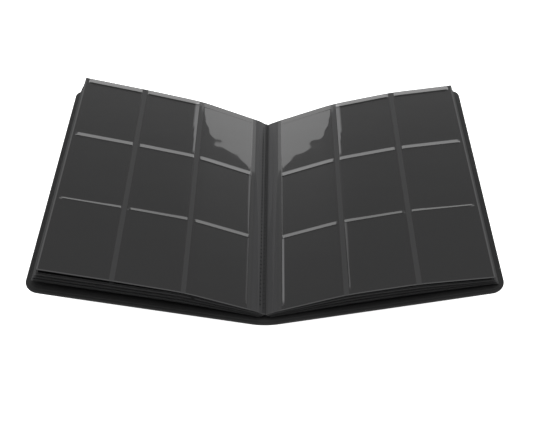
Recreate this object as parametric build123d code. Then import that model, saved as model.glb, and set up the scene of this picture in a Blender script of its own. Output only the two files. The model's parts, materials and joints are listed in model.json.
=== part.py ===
from build123d import *
import math
import os

# Pocket album, lying open on the flat underside of its spine.
# Frame: origin at the middle of the spine's underside, +X to the reader's right,
# +Y to the head of the pages, +Z up. Millimetres and degrees.

# --- pocket leaves -----------------------------------------------------------
POCKET_COLUMNS = 3
POCKET_ROWS = 3
POCKET_PITCH_X = 68.0      # column pitch of the pockets
POCKET_PITCH_Y = 92.0      # row pitch of the pockets
GUTTER_LENGTH = 15.0       # leaf hinge to the first pocket column
LEAVES_PER_SIDE = 10
SHEET_THICKNESS = 0.24     # opaque middle sheet of a leaf
FILM_THICKNESS = 0.09      # clear pocket film on each face of it
MOUTH_WIDTH = 0.6          # slit in the film along a pocket's spine side
MOUTH_OFFSET = 3.0         # slit to the column line beside it
ROW_WELD_WIDTH = 3.0       # film left between the slits of two rows

# --- how the leaves stand on the spine ---------------------------------------
TOP_HINGE_OUT = 0.5        # fold of the top leaf to the middle of the spine
GAP_CLOSED = 0.12          # air between leaves at their folds, album closed
GAP_OPEN = 0.20            # air between leaves at their folds, album open
FIRST_HINGE_RISE = 0.25    # fold of the lowest leaf above the binding strip
LEAF_START = 1.2           # stiff part of a leaf starts this far from its fold
TOP_LEAF_START = 5.0       # more on the top leaves, which turn across each other
FLEX_GAP = 0.3             # bare line where a top leaf flexes, at its first column line
LEFT_LEAF_ANGLES = (16.0, 18.7)     # lowest leaf, and the one under the top leaf
RIGHT_LEAF_ANGLES = (14.95, 15.66)
TOP_LEAF_STEP = 0.1        # top leaf above the leaf under it

# --- cover and spine ---------------------------------------------------------
SKIN_THICKNESS = 0.8       # leatherette outside
BOARD_THICKNESS = 1.6      # stiffener in a cover, padding in the spine
LINING_THICKNESS = 0.8     # smooth sheet inside
COVER_ANGLE = 14.4         # cover above the horizontal
HEAD_OVERHANG = 7.75       # cover beyond the leaves at head and tail
FORE_OVERHANG = 5.5        # cover longer than a leaf, each from its own fold
CORNER_RADIUS = 12.5
EDGE_WALL = 1.2            # skin turned up round the board
BOARD_CLEARANCE = 0.3      # board inside that wall
COVER_GAP_CLOSED = 0.7     # lowest leaf to the lining, album closed
FOLD_GAP = 0.15            # cover's inner end to its fold line
STRIP_THICKNESS = 0.5      # binding strip on the spine lining
STRIP_MARGIN = 0.4         # lining left bare beside the strip
FOLD_STACK_DROP = 0.1      # folded sheet middles below the leaf hinges

# --- worked out from the sizes above -----------------------------------------
LEAF_THICKNESS = SHEET_THICKNESS + 2 * FILM_THICKNESS
LEAF_LENGTH = GUTTER_LENGTH + POCKET_COLUMNS * POCKET_PITCH_X
LEAF_HEIGHT = POCKET_ROWS * POCKET_PITCH_Y
FLEX_LINE = GUTTER_LENGTH + POCKET_PITCH_X
COVER_THICKNESS = SKIN_THICKNESS + BOARD_THICKNESS + LINING_THICKNESS
COVER_LENGTH = LEAF_LENGTH + FORE_OVERHANG
COVER_HEIGHT = LEAF_HEIGHT + 2 * HEAD_OVERHANG
HINGE_PITCH = LEAF_THICKNESS + GAP_CLOSED
LOWEST_ANGLE = math.radians(min(LEFT_LEAF_ANGLES[0], RIGHT_LEAF_ANGLES[0]))
HINGE_RISE = (
    LEAF_THICKNESS + GAP_OPEN - HINGE_PITCH * math.sin(LOWEST_ANGLE)
) / math.cos(LOWEST_ANGLE)
LOWEST_HINGE_OUT = TOP_HINGE_OUT + (LEAVES_PER_SIDE - 1) * HINGE_PITCH
SPINE_HALF_WIDTH = LOWEST_HINGE_OUT + LEAF_THICKNESS / 2 + COVER_GAP_CLOSED
STRIP_TOP = COVER_THICKNESS + STRIP_THICKNESS
LOWEST_HINGE_UP = STRIP_TOP + FIRST_HINGE_RISE

LEFT = "left"
RIGHT = "right"


def slab(x0, x1, z0, z1, height):
    """Flat block between two x and two z, centred on y = 0."""
    return Pos((x0 + x1) / 2, 0, (z0 + z1) / 2) * Box(x1 - x0, height, z1 - z0)


def tilted(solid, out, up, angle):
    """Turn a piece drawn along +X up by an angle, and set its start at (out, up)."""
    return Pos(out, 0, up) * Rot(0, -angle, 0) * solid


def on_side(solid, side):
    """Pieces are drawn on the right; the left ones are their mirror image."""
    return mirror(solid, about=Plane.YZ) if side == LEFT else solid


def save(solid, name):
    """One STEP file for one named node."""
    solid.label = name
    export_step(solid, f"parts/{name}.step")


# --- leaves ------------------------------------------------------------------
def leaf_hinge(number):
    """Fold line of a leaf, counted up from the cover: (distance out, height)."""
    steps_above_lowest = number - 1
    out = LOWEST_HINGE_OUT - steps_above_lowest * HINGE_PITCH
    up = LOWEST_HINGE_UP + steps_above_lowest * HINGE_RISE
    return out, up


def leaf_angle(number, side):
    """Leaves fan evenly, and the top one stands a small step above the rest."""
    lowest, highest = LEFT_LEAF_ANGLES if side == LEFT else RIGHT_LEAF_ANGLES
    if number == LEAVES_PER_SIDE:
        return highest + TOP_LEAF_STEP
    return lowest + (highest - lowest) * (number - 1) / (LEAVES_PER_SIDE - 2)


def leaf_panels(number):
    """Stiff panels of a leaf as (name, start, end): one, or two on a top leaf."""
    if number < LEAVES_PER_SIDE:
        return [("", LEAF_START, LEAF_LENGTH)]
    return [
        ("_inner", TOP_LEAF_START, FLEX_LINE - FLEX_GAP / 2),
        ("_outer", FLEX_LINE + FLEX_GAP / 2, LEAF_LENGTH),
    ]


def leaf_sheet(start, end):
    """Opaque middle sheet, drawn flat along +X from its fold."""
    return slab(start, end, -SHEET_THICKNESS / 2, SHEET_THICKNESS / 2, LEAF_HEIGHT)


def pocket_mouths():
    """Slits through a film, one along the spine side of each pocket."""
    depth = 4 * FILM_THICKNESS
    mouth = Box(MOUTH_WIDTH, POCKET_PITCH_Y - ROW_WELD_WIDTH, depth)
    places = []
    for column in range(POCKET_COLUMNS):
        x = GUTTER_LENGTH + column * POCKET_PITCH_X + MOUTH_OFFSET
        for row in range(POCKET_ROWS):
            y = (row - (POCKET_ROWS - 1) / 2) * POCKET_PITCH_Y
            places.append(Pos(x, y, 0) * mouth)
    return places


def leaf_films(start, end):
    """Clear films, with their pocket mouths, on both faces of the middle sheet."""
    film = slab(start, end, 0, FILM_THICKNESS, LEAF_HEIGHT) - pocket_mouths()
    upper = Pos(0, 0, SHEET_THICKNESS / 2) * film
    lower = Pos(0, 0, -SHEET_THICKNESS / 2 - FILM_THICKNESS) * film
    return Compound([upper.solid(), lower.solid()])


def build_leaves():
    for number in range(1, LEAVES_PER_SIDE + 1):
        out, up = leaf_hinge(number)
        for panel, start, end in leaf_panels(number):
            pieces = {"sheet": leaf_sheet(start, end), "films": leaf_films(start, end)}
            for side in (LEFT, RIGHT):
                angle = leaf_angle(number, side)
                for piece, solid in pieces.items():
                    name = f"leaf_{side}_{number:02d}{panel}_{piece}"
                    save(on_side(tilted(solid, out, up, angle), side), name)


# --- covers ------------------------------------------------------------------
def cover_outline(inset):
    """Cover seen from above: square at the fold, rounded at the fore edge."""
    start = FOLD_GAP + inset
    length = COVER_LENGTH - inset - start
    centre = start + length / 2
    outline = Pos(centre, 0) * Rectangle(length, COVER_HEIGHT - 2 * inset)
    outer_corners = outline.vertices().sort_by(Axis.X)[-2:]
    return fillet(outer_corners, CORNER_RADIUS - inset)


def cover_layer(inset, z0, z1):
    return Pos(0, 0, z0) * extrude(cover_outline(inset), z1 - z0)


def cover_pieces():
    """Skin tray, board and lining, drawn flat with the inner face at z = 0."""
    bottom = -COVER_THICKNESS
    skin_top = bottom + SKIN_THICKNESS
    tray = cover_layer(0, bottom, -LINING_THICKNESS)
    hollow = cover_layer(EDGE_WALL, skin_top, -LINING_THICKNESS)
    return {
        "skin": tray - hollow,
        "board": cover_layer(EDGE_WALL + BOARD_CLEARANCE, skin_top, -LINING_THICKNESS),
        "lining": cover_layer(0, -LINING_THICKNESS, 0),
    }


def build_covers():
    pieces = cover_pieces()
    for side, cover in ((LEFT, "front_cover"), (RIGHT, "back_cover")):
        for layer, solid in pieces.items():
            placed = tilted(solid, SPINE_HALF_WIDTH, COVER_THICKNESS, COVER_ANGLE)
            save(on_side(placed, side), f"{cover}_{layer}")


# --- spine, in two halves that meet at its middle crease ---------------------
def fold_stack():
    """Folded middles of the sheets: a wedge that rises under the leaf hinges."""
    low = LOWEST_HINGE_UP - FOLD_STACK_DROP
    high = low + LOWEST_HINGE_OUT * HINGE_RISE / HINGE_PITCH
    profile = Polyline(
        (0, STRIP_TOP), (LOWEST_HINGE_OUT, STRIP_TOP), (LOWEST_HINGE_OUT, low), (0, high),
        close=True,
    )
    face = Plane.XZ * make_face(profile)
    return Pos(0, LEAF_HEIGHT / 2, 0) * extrude(face, LEAF_HEIGHT)


def build_spine():
    edge = SPINE_HALF_WIDTH - FOLD_GAP
    padding_top = SKIN_THICKNESS + BOARD_THICKNESS
    strip_edge = SPINE_HALF_WIDTH - STRIP_MARGIN
    pieces = {
        "spine_skin": slab(0, edge, 0, SKIN_THICKNESS, COVER_HEIGHT),
        "spine_padding": slab(0, edge, SKIN_THICKNESS, padding_top, COVER_HEIGHT),
        "spine_lining": slab(0, edge, padding_top, COVER_THICKNESS, COVER_HEIGHT),
        "binding_strip": slab(0, strip_edge, COVER_THICKNESS, STRIP_TOP, LEAF_HEIGHT),
        "sheet_folds": fold_stack(),
    }
    for side in (LEFT, RIGHT):
        for name, solid in pieces.items():
            save(on_side(solid, side), f"{name}_{side}")


os.makedirs("parts", exist_ok=True)
build_leaves()
build_covers()
build_spine()
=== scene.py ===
import json
import math

import bmesh
import bpy
import numpy as np
from bpy.props import FloatProperty, FloatVectorProperty, IntProperty, PointerProperty
from mathutils import Matrix, Vector


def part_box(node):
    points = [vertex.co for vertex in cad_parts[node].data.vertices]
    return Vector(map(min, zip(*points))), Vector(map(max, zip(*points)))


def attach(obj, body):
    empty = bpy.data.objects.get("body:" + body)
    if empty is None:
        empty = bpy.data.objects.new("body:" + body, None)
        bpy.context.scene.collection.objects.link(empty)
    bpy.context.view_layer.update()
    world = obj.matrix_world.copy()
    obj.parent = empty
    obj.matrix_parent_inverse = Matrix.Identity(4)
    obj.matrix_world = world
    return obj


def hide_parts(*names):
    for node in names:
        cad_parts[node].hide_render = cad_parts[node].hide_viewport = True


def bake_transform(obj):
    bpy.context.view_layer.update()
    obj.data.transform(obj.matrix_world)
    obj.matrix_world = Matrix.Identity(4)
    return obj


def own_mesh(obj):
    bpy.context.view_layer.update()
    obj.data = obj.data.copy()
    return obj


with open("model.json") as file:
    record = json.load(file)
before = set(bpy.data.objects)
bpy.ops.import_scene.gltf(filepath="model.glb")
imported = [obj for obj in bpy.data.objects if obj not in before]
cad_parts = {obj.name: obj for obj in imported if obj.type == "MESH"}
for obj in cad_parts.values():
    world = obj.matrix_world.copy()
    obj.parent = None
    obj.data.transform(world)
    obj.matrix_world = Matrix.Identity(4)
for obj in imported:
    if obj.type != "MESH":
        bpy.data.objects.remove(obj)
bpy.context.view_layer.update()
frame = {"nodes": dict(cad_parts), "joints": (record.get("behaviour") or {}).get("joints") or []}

bl_info = {
    "name": "Pocket Album",
    "version": (1, 0, 0),
    "blender": (4, 5, 0),
    "location": "3D View > Sidebar > Album",
    "description": "Builds an open pocket album with bent leaves in a soft leatherette cover",
    "category": "Add Mesh",
}

MM = 0.001
SIDES = ("left", "right")
OUTWARD = {"left": -1.0, "right": 1.0}
COVERS = {"left": "front_cover", "right": "back_cover"}
JOINTS = {joint["name"]: np.array(joint["pos_m"]) for joint in frame["joints"]}
TOP_LEAF = 1 + sum(name.startswith("leaf_left_") for name in JOINTS)
PAGE_HEIGHT = (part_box("leaf_left_01_sheet")[1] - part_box("leaf_left_01_sheet")[0]).y
COVER_HEIGHT = (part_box("front_cover_skin")[1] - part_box("front_cover_skin")[0]).y
COVER_FOLD = abs(JOINTS["back_cover_fold"][0])
COVER_THICKNESS = JOINTS["back_cover_fold"][2]

# Directions of the leaves in degrees above the horizontal: where a leaf leaves its fold, then
# along its three pocket columns. The lowest leaf, the one under the top leaf, and the top leaf.
LEAF_DIRECTIONS = {
    "left": ((26.0, 18.0, 14.4, 14.4), (31.0, 23.0, 14.4, 14.0), (52.0, 24.0, 15.5, 14.5)),
    "right": ((24.0, 16.5, 14.2, 12.6), (28.0, 21.2, 13.6, 8.5), (48.0, 22.3, 14.4, 8.8)),
}

# The two top leaves are one folded sheet. The left one carries the fold, past the middle of the
# spine, and the right one starts under its edge.
TOP_LEAF_BEGIN = {"left": -2.6 * MM, "right": 0.2 * MM}
TOP_LEAF_START = {"left": (-0.2 * MM, 0.3 * MM), "right": (0.7 * MM, -0.1 * MM)}

# Pocket mouths that stand open, as (side, column, row): how far, with 1 the widest, and the width
# of the lifted lip at its head end and its tail end. Columns count from the spine and rows from
# the head.
OPEN_MOUTHS = {
    ("left", 1, 0): (1.0, 4.4 * MM, 1.6 * MM),
    ("left", 0, 1): (0.6, 1.6 * MM, 1.2 * MM),
    ("left", 0, 2): (0.2, 1.2 * MM, 1.0 * MM),
    ("right", 1, 0): (1.0, 5.2 * MM, 1.2 * MM),
    ("right", 0, 2): (1.0, 2.2 * MM, 2.0 * MM),
    ("right", 1, 2): (0.4, 1.6 * MM, 1.0 * MM),
}


# Film round a pocket, from the spine side: where it has risen off the weld, the slit of the mouth,
# and the lip beyond the slit. Then the row lines, with the seam that slopes down from each.
FILM_STEP = 0.7 * MM
SLIT_PLACE = 0.5 * MM
SLIT_HALF_WIDTH = 0.12 * MM
SLIT_SIDE = 0.15 * MM
LIP_START = 0.7 * MM
LIP_HEIGHT = 0.5 * MM
ROW_EDGE = 1.2 * MM
SEAM_RISE = 0.45 * MM
HEAD_SEAM = 1.4  # in widths of the seam between two rows

MIDDLE_HALF = 5 * MM  # of the piece of the cover that bends at the spine's crease
COVER_EXTRA = 1.0 * MM  # cover beyond its construction at head and tail


# --- settings ----------------------------------------------------------------
class AlbumPageSettings(bpy.types.PropertyGroup):
    """Sizes and colours of the pocket leaves."""

    pocket_width: FloatProperty(
        name="Pocket width", description="Column pitch of the pockets",
        default=68 * MM, min=0.02, unit="LENGTH")
    pocket_height: FloatProperty(
        name="Pocket height", description="Row pitch of the pockets",
        default=PAGE_HEIGHT / 3, min=0.02, unit="LENGTH")
    gutter: FloatProperty(
        name="Gutter", description="Bare margin between the fold and the first pockets",
        default=15 * MM, min=0.005, unit="LENGTH")
    columns: IntProperty(
        name="Columns", description="Pocket columns on a leaf", default=3, min=1, max=4)
    weld_width: FloatProperty(
        name="Weld width", description="Width of the weld between two pocket columns",
        default=5.2 * MM, min=0.001, unit="LENGTH")
    head_margin: FloatProperty(
        name="Head margin", description="Leaf beyond the pockets at its head",
        default=2.7 * MM, min=0.0, unit="LENGTH")
    tail_margin: FloatProperty(
        name="Tail margin", description="Leaf beyond the pockets at its tail",
        default=1.5 * MM, min=0.0, unit="LENGTH")
    fore_margin: FloatProperty(
        name="Fore margin", description="Top leaf beyond the pockets at its fore edge",
        default=1.2 * MM, min=0.0, unit="LENGTH")
    seam_width: FloatProperty(
        name="Seam width", description="Width of the sloping seam between two pocket rows",
        default=5.4 * MM, min=0.001, unit="LENGTH")
    seam_height: FloatProperty(
        name="Seam height", description="Height of that seam above the pockets",
        default=0.78 * MM, min=0.0, unit="LENGTH")
    sheet_thickness: FloatProperty(
        name="Sheet thickness", description="Opaque middle sheet of a leaf",
        default=0.24 * MM, min=0.0001, unit="LENGTH")
    film_thickness: FloatProperty(
        name="Film thickness", description="Clear pocket film on each face",
        default=0.09 * MM, min=0.00002, unit="LENGTH")
    film_swell: FloatProperty(
        name="Film swell", description="How far the film of an empty pocket stands off its sheet",
        default=0.11 * MM, min=0.0, unit="LENGTH")
    film_colour: FloatVectorProperty(
        name="Film colour", description="Colour of the film over the dark sheet",
        subtype="COLOR", size=3, default=(0.0048, 0.0048, 0.005), min=0, max=1)
    weld_colour: FloatVectorProperty(
        name="Weld colour", description="Colour where the film is welded to the sheet",
        subtype="COLOR", size=3, default=(0.028, 0.028, 0.0285), min=0, max=1)
    gutter_colour: FloatVectorProperty(
        name="Gutter colour", description="Colour of the bare margin beside the fold",
        subtype="COLOR", size=3, default=(0.038, 0.038, 0.039), min=0, max=1)
    # Painted highlight: this pale colour on an opened lip stands in for the light caught by the lifted
    # film.
    lip_highlight_colour: FloatVectorProperty(
        name="Lip colour", description="Colour of the film's lip at an open mouth",
        subtype="COLOR", size=3, default=(0.11, 0.11, 0.112), min=0, max=1)


class AlbumCoverSettings(bpy.types.PropertyGroup):
    """Sizes and colours of the cover."""

    corner_radius: FloatProperty(
        name="Corner radius", description="Round of the cover's outer corners",
        default=12.5 * MM, min=0.001, unit="LENGTH")
    edge_round: FloatProperty(
        name="Edge round", description="How far in the turned edge is rounded",
        default=1.5 * MM, min=0.0001, unit="LENGTH")
    rim_width: FloatProperty(
        name="Rim width", description="Leatherette left showing round the lining",
        default=3.0 * MM, min=0.0005, unit="LENGTH")
    lining_proud: FloatProperty(
        name="Lining proud", description="How far the lining stands above the turned edge",
        default=0.18 * MM, min=0.0, unit="LENGTH")
    leather_colour: FloatVectorProperty(
        name="Leatherette", description="Colour of the leatherette",
        subtype="COLOR", size=3, default=(0.0055, 0.0055, 0.0057), min=0, max=1)
    lining_colour: FloatVectorProperty(
        name="Lining", description="Colour of the lining",
        subtype="COLOR", size=3, default=(0.0055, 0.0055, 0.0057), min=0, max=1)


class AlbumStageSettings(bpy.types.PropertyGroup):
    """Camera and light."""

    floor_colour: FloatVectorProperty(
        name="Floor", description="Colour of the floor",
        subtype="COLOR", size=3, default=(0.93, 0.93, 0.93), min=0, max=1)
    daylight: FloatProperty(
        name="Daylight", description="Strength of the even light from all round",
        default=0.57, min=0)
    overhead: FloatProperty(
        name="Overhead light", description="Power of the soft box above, in watts",
        default=40.0, min=0)
    card: FloatProperty(
        name="Reflection card", description="Strength of the two cards behind the album",
        default=2.5, min=0)
    focal_length: FloatProperty(
        name="Focal length", description="Of the camera, in millimetres",
        default=51.04, min=10)


# --- meshes ------------------------------------------------------------------
def smooth(t):
    """Zero up to t = 0, one from t = 1, and 3t^2 - 2t^3 between."""
    t = np.clip(t, 0, 1)
    return t * t * (3 - 2 * t)


def steps(start, end, spacing, lines=(), offsets=()):
    """Grid levels from start to end at most spacing apart, with extra ones at offsets from each
    line. Of two levels closer than 0.02 mm, only the second is kept."""
    even = np.linspace(start, end, max(2, math.ceil((end - start) / spacing) + 1))
    close = np.array([line + offset for line in lines for offset in offsets])
    levels = np.concatenate([even, close]) if close.size else even
    levels = np.unique(np.round(levels[(levels >= start) & (levels <= end)], 6))
    near = np.diff(levels) < 0.02 * MM
    return levels[~np.append(near, False)]


def closed_shell(top, bottom):
    """Closed shell between two grids of points of one shape (n, m, 3): the top grid's cells, the
    bottom grid's cells turned over, and one band of cells round the rim. Returns the points, the
    faces, and which faces are in that band."""
    n, m = top.shape[:2]
    index = np.arange(n * m).reshape(n, m)
    cells = np.stack([index[:-1, :-1], index[1:, :-1], index[1:, 1:], index[:-1, 1:]], -1)
    cells = cells.reshape(-1, 4)
    rim = np.concatenate([index[:, 0], index[-1, 1:], index[-2::-1, -1], index[0, -2:0:-1]])
    ahead = np.roll(rim, -1)
    below = n * m
    wall = np.stack([ahead, rim, rim + below, ahead + below], -1)
    faces = np.concatenate([cells, cells[:, ::-1] + below, wall])
    is_wall = np.arange(len(faces)) >= 2 * len(cells)
    across = top[n // 2 + 1, m // 2] - top[n // 2, m // 2]
    along = top[n // 2, m // 2 + 1] - top[n // 2, m // 2]
    up = top[n // 2, m // 2] - bottom[n // 2, m // 2]
    if np.dot(np.cross(across, along), up) < 0:
        faces = faces[:, ::-1]
    return np.concatenate([top.reshape(-1, 3), bottom.reshape(-1, 3)]), faces, is_wall


def new_piece(name, parts, material, pages=None, rim_material=None, sharp=35.0):
    """One object from several (points, faces, is_wall) parts. An optional "page" attribute holds
    each point's distance from the fold, its distance along the spine and its lift, in metres, and
    an optional second material goes on the walls round the rims. On the films that lift is the
    share of an opened lip, and it sets the painted highlight on the lips."""
    points = np.concatenate([part[0] for part in parts])
    starts = np.cumsum([0] + [len(part[0]) for part in parts[:-1]])
    faces = np.concatenate([part[1] + start for part, start in zip(parts, starts)])
    mesh = bpy.data.meshes.new(name)
    mesh.from_pydata(points.tolist(), [], faces.tolist())
    if pages is not None:
        layer = mesh.attributes.new("page", "FLOAT_VECTOR", "POINT")
        layer.data.foreach_set("vector", np.concatenate(pages).astype(np.float32).ravel())
    mesh.shade_smooth()
    mesh.set_sharp_from_angle(angle=math.radians(sharp))
    mesh.validate()
    piece = bpy.data.objects.new(name, mesh)
    bpy.context.scene.collection.objects.link(piece)
    mesh.materials.append(material)
    if rim_material:
        mesh.materials.append(rim_material)
        walls = np.concatenate([part[2] for part in parts])
        mesh.polygons.foreach_set("material_index", walls.astype(np.int32))
    return piece


def slope_of(node):
    """Angle above the horizontal of a flat CAD node that rises outwards, from the two ends of its
    upper face: its highest point, and its point nearest the spine."""
    points = np.array([vertex.co for vertex in frame["nodes"][node].data.vertices])
    out, up = np.abs(points[:, 0]), points[:, 2]
    high, near = np.argmax(up), np.argmin(out)
    return math.atan2(up[high] - up[near], out[high] - out[near])


class Line:
    """A line in the X-Z plane, drawn outwards from a point: its direction at each distance is
    known, and its points are the running sum of short steps in that direction."""

    def __init__(self, side, start, distances, directions):
        self.side = side
        step = np.diff(distances)
        middle = (directions[1:] + directions[:-1]) / 2
        self.distances = distances
        self.out = start[0] + np.concatenate([[0], np.cumsum(step * np.cos(middle))])
        self.up = start[1] + np.concatenate([[0], np.cumsum(step * np.sin(middle))])
        self.directions = directions

    def pass_through(self, distance, out, up):
        """Turn and stretch the line about its start so that it has this point at this distance."""
        base = complex(self.out[0], self.up[0])
        path = self.out + 1j * self.up - base
        now_out = np.interp(distance, self.distances, path.real)
        now_up = np.interp(distance, self.distances, path.imag)
        factor = (complex(out, up) - base) / complex(now_out, now_up)
        path = path * factor + base
        self.out, self.up = path.real, path.imag
        self.directions = self.directions + np.angle(factor)

    def points(self, distance, along, lift):
        """Points at each distance and along, lifted off the line at right angles. Arrays that
        broadcast to one shape give that shape with 3 coordinates."""
        distance, along, lift = np.broadcast_arrays(distance, along, lift)
        turn = np.interp(distance, self.distances, self.directions)
        out = np.interp(distance, self.distances, self.out) - lift * np.sin(turn)
        up = np.interp(distance, self.distances, self.up) + lift * np.cos(turn)
        return np.stack([out * OUTWARD[self.side], along, up], -1)


# --- shader nodes ------------------------------------------------------------
class Number:
    """A number socket that can be used in Python sums: each operator adds one Math node."""

    def __init__(self, shader, socket):
        self.shader = shader
        self.socket = socket

    def math(self, operation, *others):
        node = self.shader.node("ShaderNodeMath", {"operation": operation}, [self, *others])
        return Number(self.shader, node.outputs[0])

    def __add__(self, other):
        return self.math("ADD", other)

    def __sub__(self, other):
        return self.math("SUBTRACT", other)

    def __rsub__(self, other):
        return self.shader.number(other).math("SUBTRACT", self)

    def __mul__(self, other):
        return self.math("MULTIPLY", other)

    __radd__ = __add__

    def band(self, start, end):
        """Smooth step from 0 at start to 1 at end."""
        node = self.shader.node("ShaderNodeMapRange", {"interpolation_type": "SMOOTHSTEP"},
                                {"Value": self, "From Min": start, "From Max": end})
        return Number(self.shader, node.outputs["Result"])


class Shader:
    """A new material on one Principled shader, with short ways to add nodes to it."""

    def __init__(self, name, **constants):
        self.material = bpy.data.materials.new(name)
        self.material.use_nodes = True
        self.tree = self.material.node_tree
        self.surface = self.tree.nodes["Principled BSDF"]
        for socket, value in constants.items():
            self.surface.inputs[socket.replace("_", " ")].default_value = value

    def node(self, kind, settings=None, inputs=None):
        """Add a node: its settings, then a value or a link for each named or numbered socket."""
        node = self.tree.nodes.new(kind)
        for name, value in (settings or {}).items():
            setattr(node, name, value)
        entries = inputs.items() if isinstance(inputs, dict) else enumerate(inputs or [])
        for key, value in entries:
            self.plug(node.inputs[key], value)
        return node

    def plug(self, socket, value):
        if isinstance(value, Number):
            value = value.socket
        if isinstance(value, bpy.types.NodeSocket):
            self.tree.links.new(value, socket)
        else:
            socket.default_value = value

    def number(self, value):
        node = self.node("ShaderNodeValue")
        node.outputs[0].default_value = value
        return Number(self, node.outputs[0])

    def object_place(self):
        return self.node("ShaderNodeTexCoord").outputs["Object"]

    def attribute(self, name):
        """The three numbers of a vector attribute."""
        vector = self.node("ShaderNodeAttribute", {"attribute_name": name}).outputs["Vector"]
        split = self.node("ShaderNodeSeparateXYZ", None, [vector])
        return vector, [Number(self, socket) for socket in split.outputs]

    def noise(self, place, scale, detail=2.0, roughness=0.5):
        inputs = {"Vector": place, "Scale": scale, "Detail": detail, "Roughness": roughness}
        return Number(self, self.node("ShaderNodeTexNoise", None, inputs).outputs["Fac"])

    def bands(self, place, direction, scale, distortion, detail):
        """Waves in straight bands across one axis."""
        settings = {"wave_type": "BANDS", "bands_direction": direction}
        inputs = {"Vector": place, "Scale": scale, "Distortion": distortion, "Detail": detail}
        return Number(self, self.node("ShaderNodeTexWave", settings, inputs).outputs["Fac"])

    def cells(self, place, scale, feature="DISTANCE_TO_EDGE"):
        inputs = {"Vector": place, "Scale": scale}
        node = self.node("ShaderNodeTexVoronoi", {"feature": feature}, inputs)
        return Number(self, node.outputs["Distance"])

    def mix(self, factor, first, second):
        """Colour between two colours."""
        node = self.node("ShaderNodeMix", {"data_type": "RGBA"})
        for key, value in ((0, factor), (6, first), (7, second)):
            value = (*value, 1.0) if isinstance(value, tuple) else value
            self.plug(node.inputs[key], value)
        return node.outputs[2]

    def bump(self, height, distance, strength=1.0):
        node = self.node("ShaderNodeBump", None,
                         {"Height": height, "Distance": distance, "Strength": strength})
        self.plug(self.surface.inputs["Normal"], node.outputs[0])

    def feed(self, socket, value):
        self.plug(self.surface.inputs[socket], value)

    def finish(self, colour, roughness):
        """Give the surface its colour and roughness, and return the material."""
        self.feed("Base Color", colour)
        self.feed("Roughness", roughness)
        return self.material


def scaled(colour, factor):
    return tuple(min(1.0, channel * factor) for channel in colour)


def leatherette(colour):
    """Fine pebble grain: rounded cells with soft creases between them, smoother on the high spots.
    The creases are painted darker as shade.
    """
    shader = Shader("black_leatherette", Specular_IOR_Level=0.26)
    place = shader.object_place()
    cells = shader.cells(place, 1150.0).band(0.0, 0.32)
    fine = shader.noise(place, 2600.0, 3.0)
    patch = shader.noise(place, 28.0, 3.0)
    grain = cells * 0.8 + fine * 0.2
    shader.bump(grain, 0.00012, 0.55)
    base = shader.mix(patch.band(0.3, 0.75), scaled(colour, 0.85), scaled(colour, 1.25))
    # Painted shade: the creases between the cells are darker.
    return shader.finish(shader.mix(cells, scaled(colour, 0.55), base), 0.62 - cells * 0.09 + patch * 0.06)


def lining_cloth(colour):
    """Thin satin lining with a fine straight weave."""
    shader = Shader("satin_lining", Specular_IOR_Level=0.25)
    place = shader.object_place()
    warp = shader.bands(place, "X", 420.0, 0.6, 1.0)
    weft = shader.bands(place, "Y", 420.0, 0.6, 1.0)
    weave = warp * weft
    patch = shader.noise(place, 40.0, 2.0)
    shader.bump(weave, 0.00006, 0.4)
    return shader.finish(shader.mix(patch, scaled(colour, 0.8), scaled(colour, 1.25)), 0.55 + weave * 0.15)


def page_sheet(colour):
    """Dark satin plastic sheet with a fine sanded texture."""
    shader = Shader("page_sheet", Specular_IOR_Level=0.3)
    place = shader.object_place()
    sand = shader.noise(place, 1800.0, 3.0)
    cloud = shader.noise(place, 22.0, 2.0)
    shader.bump(sand, 0.00004, 0.35)
    return shader.finish(shader.mix(cloud, scaled(colour, 0.85), scaled(colour, 1.2)), 0.46 + sand * 0.12)


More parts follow.
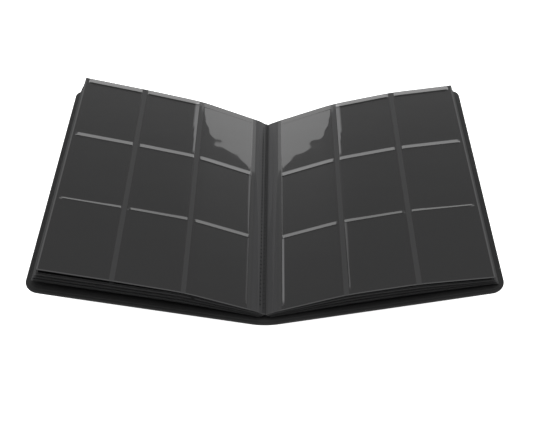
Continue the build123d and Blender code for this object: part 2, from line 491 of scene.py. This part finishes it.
def pocket_film(page):
    """Glossy film over a dark sheet. Distances from the pocket lines give the welds, the margins
    and the opened lips, which are paler than the film of a pocket, and mostly less glossy. The
    extra paleness of the fore and tail margins and the paleness of the opened lips are painted
    highlights, and the groove by the fold is darkened with painted shade."""
    shader = Shader("pocket_film", IOR=1.5, Specular_IOR_Level=0.08,
                    Coat_Roughness=0.025, Coat_IOR=1.5)
    vector, (distance, along, lip) = shader.attribute("page")
    to_column = (distance - page.gutter).math("PINGPONG", page.pocket_width / 2)
    fore_edge = page.gutter + page.columns * page.pocket_width
    weld = 1 - to_column.band(page.weld_width * 0.38, page.weld_width * 0.55)
    weld = weld * distance.band(fore_edge - 3 * MM, fore_edge - 4 * MM)  # none at the fore edge
    in_gutter = distance.band(page.gutter - 1.0 * MM, page.gutter - 3.0 * MM)
    # Painted shade: the groove by the middle fold, where the two leaves meet, is painted dark in the
    # film's own colour.
    painted_fold_shade = distance.band(2.4 * MM, -0.4 * MM)
    # Painted highlight: a thin band at the fore edge. It is the edge's weld, painted paler than the other
    # welds for the light on the edge.
    fore = distance.band(fore_edge - 0.8 * MM, fore_edge - 0.4 * MM)
    pockets_tail = -1.5 * page.pocket_height
    # Painted highlight: the tail margin is a weld, painted paler than the other welds for the light along
    # the near edge.
    tail = along.band(pockets_tail - 0.1 * MM, pockets_tail - 0.4 * MM)
    cloud = shader.noise(vector, 18.0, 3.0)
    fine = shader.noise(vector, 900.0, 2.0)
    darker, lighter = scaled(page.film_colour, 0.94), scaled(page.film_colour, 1.07)
    colour = shader.mix(cloud.band(0.3, 0.7), darker, lighter)
    colour = shader.mix(weld, colour, tuple(page.weld_colour))
    colour = shader.mix(in_gutter, colour, tuple(page.gutter_colour))
    # Painted shade in the groove by the fold.
    colour = shader.mix(painted_fold_shade * 0.6, colour, tuple(page.film_colour))
    colour = shader.mix(fore, colour, scaled(page.weld_colour, 1.8))
    colour = shader.mix(tail, colour, scaled(page.weld_colour, 1.5))
    # Painted highlight: the opened lips are painted pale for the light on the lifted film.
    colour = shader.mix(lip, colour, scaled(page.lip_highlight_colour, 1.3))
    matte = weld * 0.55 + in_gutter * 0.9
    shader.feed("Coat Weight", 1.0 - matte.math("MINIMUM", 0.92))
    shader.bump(fine * 0.5 + cloud, 0.00003, 0.12)
    return shader.finish(colour, 0.34 + matte * 0.14 + fine * 0.05)


def cut_edge(colour):
    """Cut ends of sheets and films: dull, and close to black."""
    shader = Shader("cut_edge", Specular_IOR_Level=0.12)
    saw = shader.noise(shader.object_place(), 900.0, 3.0)
    darker, lighter = scaled(colour, 0.5), scaled(colour, 1.6)
    return shader.finish(shader.mix(saw.band(0.35, 0.65), darker, lighter), 0.7 + saw * 0.2)


def greyboard():
    """Pressed fibre board inside the covers."""
    shader = Shader("greyboard", Specular_IOR_Level=0.3)
    place = shader.object_place()
    fibre = shader.noise(place, 500.0, 6.0, 0.7)
    shader.bump(fibre, 0.0001, 0.4)
    return shader.finish(shader.mix(fibre, (0.20, 0.175, 0.14), (0.32, 0.28, 0.23)), 0.78 + fibre * 0.15)


def foam():
    """Open-cell padding inside the spine."""
    shader = Shader("spine_foam", Specular_IOR_Level=0.2)
    place = shader.object_place()
    cells = shader.cells(place, 1400.0, "F1")
    shader.bump(cells, 0.0002, 0.5)
    return shader.finish(shader.mix(cells, (0.05, 0.05, 0.05), (0.10, 0.10, 0.10)), 0.85 + cells * 0.1)


def binding_tape(colour):
    """Ribbed tape under the folds of the leaves."""
    shader = Shader("binding_tape", Specular_IOR_Level=0.3)
    rib = shader.bands(shader.object_place(), "Y", 300.0, 0.4, 2.0)
    shader.bump(rib, 0.0001, 0.5)
    return shader.finish(shader.mix(rib, scaled(colour, 0.7), scaled(colour, 1.5)), 0.7 + rib * 0.1)


def weld_mark(colour):
    """Dull pressed dots of the weld through the folds."""
    shader = Shader("weld_mark", Specular_IOR_Level=0.25)
    speck = shader.noise(shader.object_place(), 1500.0, 2.0)
    return shader.finish(shader.mix(speck, scaled(colour, 0.35), scaled(colour, 0.6)), 0.6 + speck * 0.2)


# --- leaves ------------------------------------------------------------------
def leaf_name(side, number):
    return f"leaf_{side}_{number:02d}"


def leaf_joint(side, number):
    """Where the joint lies that a leaf turns on."""
    name = f"top_leaf_{side}_turn" if number == TOP_LEAF else f"{leaf_name(side, number)}_fold"
    return JOINTS[name]


def leaf_end(page, number):
    """Distance from the fold to the fore edge: the lower leaves are trimmed shorter, unevenly."""
    pockets = page.gutter + page.columns * page.pocket_width
    if number == TOP_LEAF:
        return pockets + page.fore_margin
    return pockets + (0.6 + 0.8 * math.sin(number * 2.4)) * MM


def leaf_ends(page, number):
    """Tail and head end of a leaf: the lower leaves sit a little off the top one."""
    pockets = 1.5 * page.pocket_height
    shift = 0.0 if number == TOP_LEAF else 0.7 * MM * math.sin(number * 2.0 + 1.6)
    return shift - pockets - page.tail_margin, shift + pockets + page.head_margin


def leaf_line(page, side, number):
    """Middle line of a leaf. Its direction starts steep at the fold and steps smoothly to each
    column's direction, with the steps spread about the column lines. The leaves between the lowest
    one and the top two take directions in between. A top leaf starts nearly flat, where it runs
    over the fold, and passes through its flex joint."""
    is_top = number == TOP_LEAF
    joint = leaf_joint(side, number)
    begin = TOP_LEAF_BEGIN[side] if is_top else 0.0
    lowest, highest, top = (np.array(row) for row in LEAF_DIRECTIONS[side])
    share = (number - 1) / (TOP_LEAF - 2)
    angles = np.radians(top if is_top else lowest + (highest - lowest) * share)
    distances = np.linspace(begin, leaf_end(page, number), 1200)
    directions = np.full_like(distances, angles[0])
    bend = 40 * MM
    centres = [begin + page.gutter * 0.45, *column_lines(page)[1:3]]
    widths = [page.gutter * 1.1, bend, bend]
    for centre, width, before, after in zip(centres, widths, angles, angles[1:]):
        directions += (after - before) * smooth((distances - centre) / width + 0.5)
    if is_top:
        start_angle, start_length = math.radians(4), 6 * MM
        flat = 1 - smooth((distances - begin) / start_length)
        directions -= (angles[0] - start_angle) * flat
    out, rise = TOP_LEAF_START[side] if is_top else (abs(joint[0]), 0.0)
    line = Line(side, (out, joint[2] + rise), distances, directions)
    if is_top:
        flex = JOINTS[f"top_leaf_{side}_flex"]
        line.pass_through(page.gutter + page.pocket_width, abs(flex[0]), flex[2])
    return line


def leaf_stretches(page, side, number):
    """(body, from, to) of a leaf, or of each of a top leaf's two panels. A body's CAD nodes have
    its name and an ending."""
    name = leaf_name(side, number)
    end = leaf_end(page, number)
    if number < TOP_LEAF:
        return [(name, 0.4 * MM, end)]
    flex = page.gutter + page.pocket_width
    return [(f"{name}_inner", TOP_LEAF_BEGIN[side], flex), (f"{name}_outer", flex, end)]


def flatten_when_closed(piece, side, number):
    """Give the piece a mesh of its own. Nothing here presses the leaf flat: the name of the leaf's
    sheet node is worked out but not used."""
    node = leaf_name(side, number) + ("_inner_sheet" if number == TOP_LEAF else "_sheet")
    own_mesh(piece)


def put_on_leaf(piece, body, ending, side, number):
    """Let a piece ride on a leaf's body, in place of that body's CAD node with this ending."""
    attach(piece, body)
    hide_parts(f"{body}_{ending}")
    flatten_when_closed(piece, side, number)


def leaf_levels(page, start, end, spacing, lines=(), offsets=()):
    """Grid levels across a leaf, closer together in the gutter, where it curves most."""
    turn = min(end, max(start, page.gutter))
    in_gutter = steps(start, turn, 0.6 * MM)
    beyond = steps(turn, end, spacing, lines, offsets)
    return np.unique(np.concatenate([in_gutter, beyond]))[:, None]


def column_lines(page):
    return [page.gutter + column * page.pocket_width for column in range(page.columns + 1)]


def row_lines(page):
    return [(row - 1.5) * page.pocket_height for row in range(4)]


def seam_lines(page):
    """Crest of the seam along each row line but the tail one; the last runs along the head."""
    lines = row_lines(page)[1:]
    crest = HEAD_SEAM * page.seam_width - page.head_margin
    return [line - 0.4 * page.seam_width for line in lines[:-1]] + [lines[-1] - crest]


def open_mouth(page, side, distance, along):
    """How far each point's pocket mouth stands open, from 0 to 1, and how wide its lip is there."""
    lift = np.zeros(np.broadcast_shapes(distance.shape, along.shape))
    width = lift + 1.0 * MM
    for (mouth_side, column, row), (amount, head_width, tail_width) in OPEN_MOUTHS.items():
        if mouth_side != side:
            continue
        head = (1.5 - row) * page.pocket_height
        down = (head - along) / page.pocket_height
        reach = smooth((down - 0.01) / 0.03) * (1 - smooth((down - 0.88) / 0.08))
        middle = page.gutter + (column + 0.5) * page.pocket_width
        here = (np.abs(distance - middle) < page.pocket_width / 2) & (np.abs(down - 0.5) < 0.5)
        lift = lift + amount * reach * here
        width = np.where(here, head_width + (tail_width - head_width) * down, width)
    return lift, width


def seam_relief(page, past, along):
    """Height of the seams at each point: each slopes down towards the head from its row line. The
    lower one narrows and steepens outwards, and the one along the head starts at the second
    column."""
    second = past - page.pocket_width
    outwards = smooth(second / ((page.columns - 1) * page.pocket_width))
    head = 0.05 + (HEAD_SEAM - 0.05) * smooth(second / (4 * MM))
    widths = (0.85 - 0.45 * outwards, 1.0, head)
    heights = (0.85 - 0.25 * outwards, 1.0, head)
    seam = 0.0
    for line, width, height in zip(seam_lines(page), widths, heights):
        beyond = along - line
        slope = np.clip(1 - beyond / (page.seam_width * width), 0, 1)
        slope = slope * smooth((beyond + SEAM_RISE) / SEAM_RISE)
        seam = np.maximum(seam, slope * page.seam_height * height)
    return seam


def ripples(distance, along, column, row):
    """Slow waves in the film of an empty pocket, with shorter ones half as high over them."""
    slow = np.sin(distance * 95 + along * 61 + column) * np.sin(along * 83 - distance * 37 + row * 2)
    short = np.sin(distance * 210 + along * 140) * np.sin(along * 190 - distance * 120)
    return slow + 0.5 * short


def film_relief(page, side, distance, along, swell, mouths):
    """Height of a film above its sheet. Over a pocket it is the film's thickness and a low dome,
    1 - t^8 across and 1 - t^2 along, with ripples. It is thinner in the welds and in the slit of
    each mouth, and rises in a lip beyond the slit and in the seams. Returns the height and the
    share of opened lip at each point."""
    past = distance - page.gutter
    on_pockets = past > 0
    column = np.clip(np.floor(past / page.pocket_width), 0, page.columns - 1)
    inside = past - column * page.pocket_width
    edge = page.weld_width / 2
    far_edge = page.pocket_width - edge
    across = np.clip((inside - edge) / (far_edge - edge), 0, 1) * 2 - 1
    row = np.clip(np.floor(along / page.pocket_height + 1.5), 0, 2)
    within = along - (row - 1.5) * page.pocket_height
    upward = np.clip((within - ROW_EDGE) / (page.pocket_height - 2 * ROW_EDGE), 0, 1) * 2 - 1

    to_ends = 1.5 * page.pocket_height - np.abs(along)
    in_pocket = smooth((inside - edge) / FILM_STEP) * smooth((far_edge - inside) / FILM_STEP)
    in_pocket = in_pocket * smooth(to_ends / FILM_STEP) * on_pockets
    dome = (1 - across ** 8) * (1 - upward ** 2)
    rippled = 1 + 0.32 * ripples(distance, along, column, row)
    height = page.film_thickness * (0.55 + 0.45 * in_pocket) + in_pocket * dome * swell * rippled

    opened, width = open_mouth(page, side, distance, along) if mouths else (0.0, 1.0 * MM)
    to_slit = np.abs(inside - edge - SLIT_PLACE)
    slit = (1 - smooth((to_slit - SLIT_HALF_WIDTH) / SLIT_SIDE)) * on_pockets
    between_rows = smooth((1 - np.abs(upward) - 0.012) / 0.012)
    beyond = inside - edge - LIP_START
    lip = smooth(beyond / SLIT_SIDE) * (1 - smooth((beyond - 0.3 * MM) / (width * 0.8))) * on_pockets
    height = height * (1 - 0.4 * slit * between_rows) + lip * (0.02 + 0.98 * opened) * LIP_HEIGHT

    to_weld = np.minimum(inside, page.pocket_width - inside) - edge
    clear_of_welds = smooth((to_weld - 0.6 * MM) / (0.8 * MM)) * on_pockets
    height = height + seam_relief(page, past, along) * clear_of_welds
    on_lip = smooth(beyond / (0.1 * MM)) * (1 - smooth((beyond - width) / (0.3 * MM))) * on_pockets
    return height, on_lip * opened * 0.8


def film_shell(page, line, distance, along, face, visible):
    """Film on one face of a leaf, the upper with face 1 and the lower with -1, as a closed shell
    and the "page" values of its points. A hidden film lies flatter, and only an upper one that
    shows has open mouths."""
    swell = page.film_swell * (1.0 if visible else 0.35)
    relief, lip = film_relief(page, line.side, distance, along, swell, visible and face > 0)
    if not visible:
        relief = relief * 0.6
    half = page.sheet_thickness / 2
    outer = line.points(distance, along, face * (half + relief))
    inner = line.points(distance, along, face * half * 0.9)
    values = np.stack(np.broadcast_arrays(distance, along, lip), -1).reshape(-1, 3)
    return closed_shell(outer, inner), np.concatenate([values, values])


class ALBUM_OT_page_sheets(bpy.types.Operator):
    """Dark middle sheets of all leaves, bent from the fold to the fore edge"""

    bl_idname = "album.page_sheets"
    bl_label = "Page sheets"

    def execute(self, context):
        page = context.scene.album_page
        material = page_sheet(tuple(page.film_colour))
        rim = cut_edge(tuple(page.film_colour))
        half = page.sheet_thickness / 2
        for side in SIDES:
            for number in range(1, TOP_LEAF + 1):
                line = leaf_line(page, side, number)
                along = steps(*leaf_ends(page, number), 12 * MM)[None, :]
                for body, start, end in leaf_stretches(page, side, number):
                    distance = leaf_levels(page, start, end, 3 * MM)
                    top = line.points(distance, along, half)
                    bottom = line.points(distance, along, -half)
                    name = body.replace("leaf", "page")
                    sheet = new_piece(name, [closed_shell(top, bottom)], material, None, rim)
                    put_on_leaf(sheet, body, "sheet", side, number)
        return {"FINISHED"}


class ALBUM_OT_pocket_films(bpy.types.Operator):
    """Clear films of all leaves, with their pockets, mouths, welds and seams, on both faces"""

    bl_idname = "album.pocket_films"
    bl_label = "Pocket films"

    def execute(self, context):
        page = context.scene.album_page
        material = pocket_film(page)
        rim = cut_edge(tuple(page.film_colour))
        columns = column_lines(page)
        edge = page.weld_width / 2
        gaps = np.array([0, 0.25, 0.38, 0.62, 0.77, 1.0, 1.5, 2.2, 3.4]) * MM
        lips = [-edge - FILM_STEP, -edge, *(edge + gaps)]
        slopes = page.seam_width * np.linspace(0.25, 1.5, 9)
        seams = [-SEAM_RISE, -0.2 * MM, 0.0, 0.15 * MM, *slopes]
        for side in SIDES:
            for number in range(1, TOP_LEAF + 1):
                line = leaf_line(page, side, number)
                showing = number >= TOP_LEAF - 1
                faces = ((1, showing), (-1, number == TOP_LEAF))
                spacing = (2.2 if showing else 9.0) * MM
                along = steps(*leaf_ends(page, number), spacing, seam_lines(page), seams)[None, :]
                for body, start, end in leaf_stretches(page, side, number):
                    if not body.endswith("_inner"):
                        end = end - 0.25 * MM
                    distance = leaf_levels(page, start, end, spacing, columns, lips)
                    parts, values = zip(*(
                        film_shell(page, line, distance, along, face, visible)
                        for face, visible in faces))
                    name = body.replace("leaf", "pockets")
                    film = new_piece(name, parts, material, values, rim)
                    put_on_leaf(film, body, "films", side, number)
        return {"FINISHED"}


class ALBUM_OT_weld_dots(bpy.types.Operator):
    """Two staggered rows of pressed dots beside the middle fold, where the sheets are welded"""

    bl_idname = "album.weld_dots"
    bl_label = "Weld dots"

    def execute(self, context):
        page = context.scene.album_page
        material = weld_mark(tuple(page.film_colour))
        side, pitch, radius = "left", 5.0 * MM, 1.0 * MM
        line = leaf_line(page, side, TOP_LEAF)
        count = int((PAGE_HEIGHT - 2 * pitch) / pitch)
        turn = np.linspace(0, 2 * np.pi, 16, endpoint=False)[None, :]
        ring = np.array([0.02, 0.45, 0.8, 1.0])[:, None]
        lift = page.sheet_thickness / 2 + page.film_thickness + 0.02 * MM * (1 - ring ** 4)
        index = np.arange(ring.size * turn.size).reshape(ring.size, turn.size)
        ahead = np.roll(index, -1, axis=1)
        skin = np.stack([index[:-1], index[1:], ahead[1:], ahead[:-1]], -1).reshape(-1, 4)
        no_wall = np.zeros(len(skin), bool)
        parts = []
        for across, shift in ((-1.0 * MM, 0.0), (3.2 * MM, pitch / 2)):
            for dot in range(count):
                middle = (dot - (count - 1) / 2) * pitch + shift - pitch / 4
                distance = across + radius * ring * np.cos(turn)
                along = middle + radius * 0.85 * ring * np.sin(turn)
                parts.append((line.points(distance, along, lift).reshape(-1, 3), skin, no_wall))
        dots = new_piece("weld_dots", parts, material)
        solid = dots.modifiers.new("thickness", "SOLIDIFY")
        solid.thickness = 0.12 * MM
        solid.offset = -1
        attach(dots, f"{leaf_name(side, TOP_LEAF)}_inner")
        flatten_when_closed(dots, side, TOP_LEAF)
        return {"FINISHED"}


# --- cover -------------------------------------------------------------------
def cover_line(side):
    """Underside of the cover, from the middle of the spine outwards: a round arc that leaves the
    floor at the middle and meets the cover's straight slope, then that slope."""
    slope = slope_of(f"{COVERS[side]}_lining")
    corner = COVER_FOLD + COVER_THICKNESS * math.tan(slope / 2)
    radius = corner / math.tan(slope / 2)
    reach = max(abs(end.x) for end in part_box(f"{COVERS[side]}_skin"))
    straight = (reach - corner) / math.cos(slope) - corner
    length = radius * slope + straight
    distances = np.linspace(0, length, 1500)
    return Line(side, (0.0, 0.0), distances, slope * np.clip(distances / (radius * slope), 0, 1))


def cover_sheet(side, start, end, inset, low, high, cover):
    """A layer of the cover between two distances and two heights over its underside, with no end
    for up to the fore edge. Seen from above, its fore corners are quarter rounds. Its rim is
    rounded: its thickness times sqrt(1 - (1 - d / r)^2), with d the distance to the outline,
    measured in the layer, and never under a quarter."""
    line = cover_line(side)
    radius = cover.corner_radius - inset
    half_height = COVER_HEIGHT / 2 + COVER_EXTRA - inset
    finish = line.distances[-1] - inset
    r = min(cover.edge_round, radius)
    rim = r * np.array([0.0, 0.06, 0.16, 0.32, 0.55, 0.8, 1.0])
    has_corners = end is None
    if has_corners:
        quarter = finish - radius + radius * np.sin(np.linspace(0, np.pi / 2, 15))
        straight = steps(start, finish - radius, 2.5 * MM)
        distance = np.unique(np.concatenate([straight, quarter, finish - rim]))
    else:
        distance = steps(start, end, 0.8 * MM)
    over = np.clip(distance - (finish - radius), 0, radius)
    reach = half_height - radius + np.sqrt(np.maximum(radius ** 2 - over ** 2, 0))
    reach = reach[:, None]
    inner = np.linspace(-1, 1, 30)[None, 1:-1]
    edge = np.append(rim, 2.2 * r)[None, :]
    along = np.concatenate(
        [-reach + edge, inner * (reach - 2.2 * r - 1 * MM), reach - edge[:, ::-1]], axis=1)

    out = distance[:, None] * np.ones_like(along)
    beyond_x = out - (finish - radius)
    beyond_y = np.abs(along) - (half_height - radius)
    in_corner = (beyond_x > 0) & (beyond_y > 0) & has_corners
    to_corner = radius - np.hypot(np.maximum(beyond_x, 0), np.maximum(beyond_y, 0))
    to_side = half_height - np.abs(along)
    to_fore = finish - out if has_corners else np.full_like(out, np.inf)
    depth = np.where(in_corner, to_corner, np.minimum(to_side, to_fore))
    share = np.clip(depth / r, 0, 1)
    profile = 0.25 + 0.75 * np.sqrt(np.maximum(1 - (1 - share) ** 2, 0))
    middle, thick = (low + high) / 2, (high - low) / 2
    top = line.points(out, along, middle + thick * profile)
    bottom = line.points(out, along, middle - thick * profile)
    return closed_shell(top, bottom)


def weld_seam(piece):
    """Join the two halves of a piece at X = 0, and drop the two walls that met there."""
    mesh = bmesh.new()
    mesh.from_mesh(piece.data)
    inner = [face for face in mesh.faces if all(abs(v.co.x) < 0.01 * MM for v in face.verts)]
    bmesh.ops.delete(mesh, geom=inner, context="FACES_ONLY")
    bmesh.ops.remove_doubles(mesh, verts=mesh.verts, dist=0.005 * MM)
    mesh.to_mesh(piece.data)
    mesh.free()


def cover_layers(name, material, nodes, inset, low, high, cover):
    """One layer of the cover as three pieces: the spine's middle, which bends across the crease,
    and the two covers, each of which bends across its own fold."""
    for side in SIDES:
        shell = cover_sheet(side, MIDDLE_HALF, None, inset, low, high, cover)
        piece = new_piece(f"{COVERS[side]}_{name}", [shell], material)
        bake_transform(piece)
        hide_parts(f"{COVERS[side]}_{nodes}")
    halves = [cover_sheet(side, 0.0, MIDDLE_HALF, inset, low, high, cover) for side in SIDES]
    piece = new_piece(f"spine_{name}", halves, material)
    weld_seam(piece)
    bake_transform(piece)
    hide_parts(f"spine_{nodes}_left", f"spine_{nodes}_right")


class ALBUM_OT_cover_skin(bpy.types.Operator):
    """Leatherette cover in one soft sweep over both covers and the round spine"""

    bl_idname = "album.cover_skin"
    bl_label = "Cover skin"

    def execute(self, context):
        cover = context.scene.album_cover
        material = leatherette(tuple(cover.leather_colour))
        cover_layers("leatherette", material, "skin",
                     0.0, 0.0, COVER_THICKNESS, cover)
        return {"FINISHED"}


class ALBUM_OT_cover_lining(bpy.types.Operator):
    """Lining inside the covers and the spine, inset from the turned edge"""

    bl_idname = "album.cover_lining"
    bl_label = "Cover lining"

    def execute(self, context):
        cover = context.scene.album_cover
        material = lining_cloth(tuple(cover.lining_colour))
        top = COVER_THICKNESS + cover.lining_proud
        cover_layers("inner_lining", material, "lining",
                     cover.rim_width, top - 0.5 * MM, top, cover)
        return {"FINISHED"}


class ALBUM_OT_folded_sheets(bpy.types.Operator):
    """Folded middles of the nested sheets, stepped up from the binding tape"""

    bl_idname = "album.folded_sheets"
    bl_label = "Folded sheets"

    def execute(self, context):
        page = context.scene.album_page
        material = page_sheet(tuple(page.film_colour))
        half = page.sheet_thickness / 2 + page.film_thickness
        along = steps(-PAGE_HEIGHT / 2, PAGE_HEIGHT / 2, 12 * MM)[None, :]
        parts = []
        for number in range(1, TOP_LEAF):
            joint = JOINTS[f"{leaf_name('right', number)}_fold"]
            reach = joint[0] + 0.2 * MM
            across = np.linspace(-reach, reach, 13)[:, None]
            height = joint[2] - 0.3 * MM + 0.2 * MM * (np.abs(across) / reach) ** 3
            edge = half * np.sqrt(np.clip(1.02 - (across / reach) ** 2 * 0.9, 0.1, 1))
            top = np.stack(np.broadcast_arrays(across, along, height + edge), -1)
            bottom = np.stack(np.broadcast_arrays(across, along, height - edge), -1)
            parts.append(closed_shell(top, bottom))
        folds = new_piece("folded_sheets", parts, material)
        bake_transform(folds)
        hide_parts("sheet_folds_left", "sheet_folds_right")
        return {"FINISHED"}


class ALBUM_OT_hidden_layers(bpy.types.Operator):
    """Finishes of the layers kept from the construction: boards, padding and binding tape"""

    bl_idname = "album.hidden_layers"
    bl_label = "Hidden layers"

    def execute(self, context):
        cover = context.scene.album_cover
        tape = binding_tape(tuple(cover.lining_colour))
        finishes = {"board": greyboard(), "padding": foam(), "binding": tape}
        for name, node in frame["nodes"].items():
            for word, material in finishes.items():
                if word in name:
                    node.data.materials.clear()
                    node.data.materials.append(material)
        return {"FINISHED"}


# --- stage -------------------------------------------------------------------
def emission(name, strength):
    material = bpy.data.materials.new(name)
    material.use_nodes = True
    surface = material.node_tree.nodes["Principled BSDF"]
    surface.inputs["Base Color"].default_value = (0, 0, 0, 1)
    surface.inputs["Emission Color"].default_value = (1, 1, 1, 1)
    surface.inputs["Emission Strength"].default_value = strength
    return material


def flat_panel(name, corners, material):
    """A flat stage panel with these corners in turn."""
    mesh = bpy.data.meshes.new(name)
    mesh.from_pydata(corners, [], [tuple(range(len(corners)))])
    mesh.materials.append(material)
    panel = bpy.data.objects.new(name, mesh)
    bpy.context.scene.collection.objects.link(panel)
    return panel


class ALBUM_OT_stage(bpy.types.Operator):
    """Pale floor, soft light, reflection cards and the camera"""

    bl_idname = "album.stage"
    bl_label = "Stage"

    def execute(self, context):
        stage = context.scene.album_stage
        self.add_floor(stage)
        self.add_light(context.scene, stage)
        self.add_cards(stage)
        self.add_camera(context.scene, stage)
        context.scene.view_settings.view_transform = "Standard"
        return {"FINISHED"}

    def add_floor(self, stage):
        shader = Shader("floor", Roughness=0.9, Specular_IOR_Level=0.1)
        cloud = shader.noise(shader.object_place(), 3.0, 2.0)
        colour = tuple(stage.floor_colour)
        shader.feed("Base Color", shader.mix(cloud, scaled(colour, 0.995), colour))
        shader.surface.inputs["Emission Color"].default_value = (1, 1, 1, 1)
        shader.surface.inputs["Emission Strength"].default_value = 0.9
        half, level = 6.0, -0.2 * MM
        turns = ((-1, -1), (1, -1), (1, 1), (-1, 1))
        flat_panel("floor", [(x * half, y * half, level) for x, y in turns], shader.material)

    def add_light(self, scene, stage):
        world = bpy.data.worlds.new("studio")
        world.use_nodes = True
        sky = world.node_tree.nodes["Background"]
        sky.inputs["Color"].default_value = (1, 1, 1, 1)
        sky.inputs["Strength"].default_value = stage.daylight
        scene.world = world
        lamp = bpy.data.lights.new("soft_box", "AREA")
        lamp.shape = "SQUARE"
        lamp.size = 2.4
        lamp.energy = stage.overhead
        box = bpy.data.objects.new("soft_box", lamp)
        box.location = (0.0, -0.25, 2.2)
        scene.collection.objects.link(box)

    def add_cards(self, stage):
        """Two bright cards on the floor behind the album, their tops rising outwards. Only
        reflections show them."""
        material = emission("reflection_card", stage.card)
        away, reach = 1.1, 1.9
        for side, middle, edge in (("left", 0.748, 0.765), ("right", 0.758, 0.725)):
            out = OUTWARD[side]
            foot = [(0, away, 0.0), (out * reach, away, 0.0)]
            head = [(out * reach, away, edge), (0, away, middle)]
            card = flat_panel(f"card_{side}", foot + head, material)
            card.visible_camera = False
            card.visible_diffuse = False
            card.visible_shadow = False

    def add_camera(self, scene, stage):
        """The camera looks down from the reader's side, 0.86 m from a point near the spine."""
        pitch, yaw, roll = (math.radians(angle) for angle in (48.12, -0.51, -0.38))
        ahead = Vector((math.sin(yaw), math.cos(yaw), 0))
        forward = math.cos(pitch) * ahead - math.sin(pitch) * Vector((0, 0, 1))
        right = Vector((math.cos(yaw), -math.sin(yaw), 0))
        up = right.cross(forward)
        right, up = (
            math.cos(roll) * right + math.sin(roll) * up,
            math.cos(roll) * up - math.sin(roll) * right,
        )
        place = Vector((8.25, 0, -1.83)) * MM - 0.8625 * forward
        data = bpy.data.cameras.new("camera")
        data.sensor_width = 36
        data.lens = stage.focal_length
        camera = bpy.data.objects.new("camera", data)
        rows = [(right[i], up[i], -forward[i], place[i]) for i in range(3)]
        camera.matrix_world = Matrix((*rows, (0, 0, 0, 1)))
        scene.collection.objects.link(camera)
        scene.camera = camera


# --- add-on ------------------------------------------------------------------
class ALBUM_PT_panel(bpy.types.Panel):
    """Buttons for the pieces of the album, in the order they are made"""

    bl_idname = "ALBUM_PT_panel"
    bl_label = "Pocket Album"
    bl_space_type = "VIEW_3D"
    bl_region_type = "UI"
    bl_category = "Album"

    def draw(self, context):
        for operator in OPERATORS:
            self.layout.operator(operator.bl_idname)
        for group in SETTINGS:
            box = self.layout.box()
            settings = getattr(context.scene, group)
            for name in settings.bl_rna.properties.keys():
                if name not in ("name", "rna_type"):
                    box.prop(settings, name)


OPERATORS = (
    ALBUM_OT_stage,
    ALBUM_OT_cover_skin,
    ALBUM_OT_cover_lining,
    ALBUM_OT_folded_sheets,
    ALBUM_OT_hidden_layers,
    ALBUM_OT_page_sheets,
    ALBUM_OT_pocket_films,
    ALBUM_OT_weld_dots,
)
SETTINGS = {
    "album_page": AlbumPageSettings,
    "album_cover": AlbumCoverSettings,
    "album_stage": AlbumStageSettings,
}
CLASSES = (*SETTINGS.values(), *OPERATORS, ALBUM_PT_panel)


def register():
    for cls in CLASSES:
        bpy.utils.register_class(cls)
    for name, group in SETTINGS.items():
        setattr(bpy.types.Scene, name, PointerProperty(type=group))


def unregister():
    for name in SETTINGS:
        delattr(bpy.types.Scene, name)
    for cls in reversed(CLASSES):
        bpy.utils.unregister_class(cls)


def main():
    register()
    for operator in OPERATORS:
        group, name = operator.bl_idname.split(".")
        getattr(getattr(bpy.ops, group), name)()


if __name__ == "__main__":
    main()
